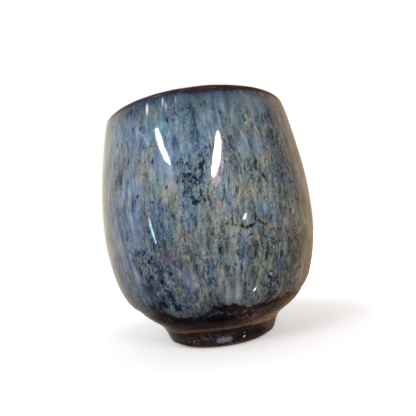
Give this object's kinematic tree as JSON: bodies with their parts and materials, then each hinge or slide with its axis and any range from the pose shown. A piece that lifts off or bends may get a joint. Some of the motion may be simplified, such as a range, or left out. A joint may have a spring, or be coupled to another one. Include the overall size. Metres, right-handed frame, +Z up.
{
  "type": "sake cup",
  "caption": "Small handleless stoneware sake cup with a round belly, a mouth drawn in a little, a low foot ring and a glossy streaked blue glaze over a dark one.",
  "frame": {"origin": "centre of the foot ring's standing face", "axes": "+Z up along the cup's axis, from the standing face to the lip; -Y is the side that the picture shows"},
  "size_m": [0.0598, 0.0598, 0.064],
  "materials": {
    "bowl_clay": "fired stoneware, bare",
    "foot_clay": "fired stoneware, bare and a little rubbed on the standing face",
    "slip": "fired slip",
    "dark_glaze": "glossy brown-black iron glaze",
    "streaked_glaze": "glossy, streaked slate blue with pale, olive and near-black flecks",
    "lip_glaze": "glossy, worn thin to brown",
    "liner_glaze": "glossy, streaked slate blue that pools darker on the floor",
    "well_glaze": "glossy brown-black iron glaze"
  },
  "bodies": {
    "root": {"clay_bowl": "bowl_clay", "foot_ring": "foot_clay", "joining_slip": "slip", "base_glaze": "dark_glaze", "streaked_glaze": "streaked_glaze", "lip_band": "lip_glaze", "liner_glaze": "liner_glaze", "foot_well_glaze": "well_glaze"}
  },
  "joints": []
}
